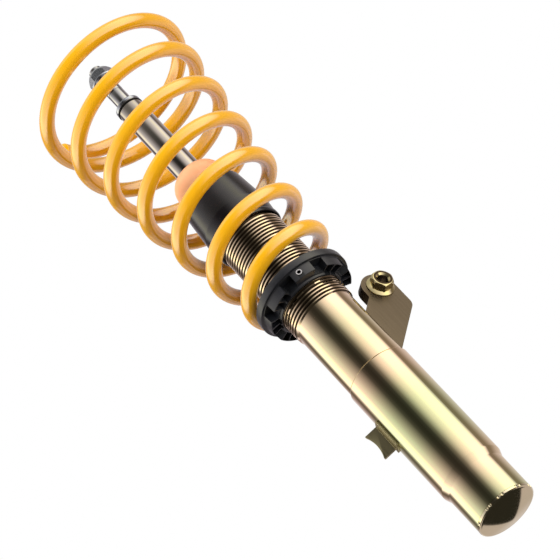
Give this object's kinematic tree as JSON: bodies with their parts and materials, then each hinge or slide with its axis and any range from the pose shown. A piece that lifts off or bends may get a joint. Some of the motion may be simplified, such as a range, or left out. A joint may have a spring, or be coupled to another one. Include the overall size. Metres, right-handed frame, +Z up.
{
  "type": "coilover strut",
  "caption": "Coilover strut: damper tube with adjuster thread, conical coil spring on a screw perch, chromed rod, bump stop, dust boot and link bracket.",
  "frame": {"origin": "centre of the flat bottom face of the strut tube", "axes": "+Z up the strut's axis towards the top mount; +X towards the side that carries the link bracket; -Y is the side with the perch's lock screw"},
  "size_m": [0.1473, 0.1477, 0.5444],
  "materials": {
    "zinc_tube": "yellow zinc plate, polished",
    "zinc_bracket": "yellow zinc plate, dull",
    "zinc_nut": "yellow zinc plate, bright",
    "inner_steel": "machined",
    "inner_aluminium": "die cast",
    "bush_plastic": "smooth",
    "black_rubber": "smooth",
    "rod_chrome": "hard chrome, polished",
    "grey_steel": "plated, satin",
    "stop_foam": "microcellular foam, matte",
    "boot_rubber": "satin",
    "perch_plastic": "moulded, fine grain",
    "spring_paint": "gloss powder coat"
  },
  "bodies": {
    "housing": {"lower_housing": "zinc_tube", "threaded_sleeve": "zinc_tube", "bottom_cap": "zinc_tube", "working_cylinder": "inner_steel", "base_valve_body": "inner_aluminium", "base_valve_shims": "inner_steel", "base_valve_bolt": "inner_steel", "rod_guide": "inner_aluminium", "guide_bush": "bush_plastic", "rod_seal": "black_rubber", "gland_nut": "inner_steel", "link_bracket": "zinc_bracket", "link_nut": "zinc_nut", "locator_tab": "zinc_bracket"},
    "rod": {"piston_rod": "rod_chrome", "piston": "inner_aluminium", "piston_band": "bush_plastic", "piston_shims": "inner_steel", "piston_nut": "inner_steel", "rebound_stop": "inner_steel", "rod_o_ring": "black_rubber", "seat_washer": "grey_steel", "top_nut": "grey_steel"},
    "bump": {"bump_stop": "stop_foam", "dust_boot": "boot_rubber"},
    "spring": {"coil_spring": "spring_paint"},
    "perch": {"spring_perch": "perch_plastic"},
    "lock_screw": {"perch_lock_screw": "grey_steel"}
  },
  "joints": [
    {"name": "rod_slide", "type": "slide", "parent": "housing", "child": "rod", "axis": [0, 0, 1], "range_m": [-0.09, 0], "stiffness_N_per_m": 500, "springref_m": 0.3, "deforming": ["coil_spring"]},
    {"name": "bump_slide", "type": "slide", "parent": "housing", "child": "bump", "axis": [0, 0, 1], "range_m": [0, 0.03]},
    {"name": "perch_travel", "type": "slide", "parent": "housing", "child": "spring", "axis": [0, 0, 1], "range_m": [-0.006, 0.03]},
    {"name": "perch_spin", "type": "hinge", "parent": "spring", "child": "perch", "pos_m": [0, 0, 0.248], "axis": [0, 0, 1], "range_deg": [-700, 3400]},
    {"name": "lock_screw_travel", "type": "slide", "parent": "perch", "child": "lock_screw", "axis": [0.225, -0.9744, 0], "range_m": [0, 0.0015]}
  ],
  "couplings": [
    {"joint": "perch_spin", "follows": "perch_travel", "rad_per_m": 1963.5}
  ]
}
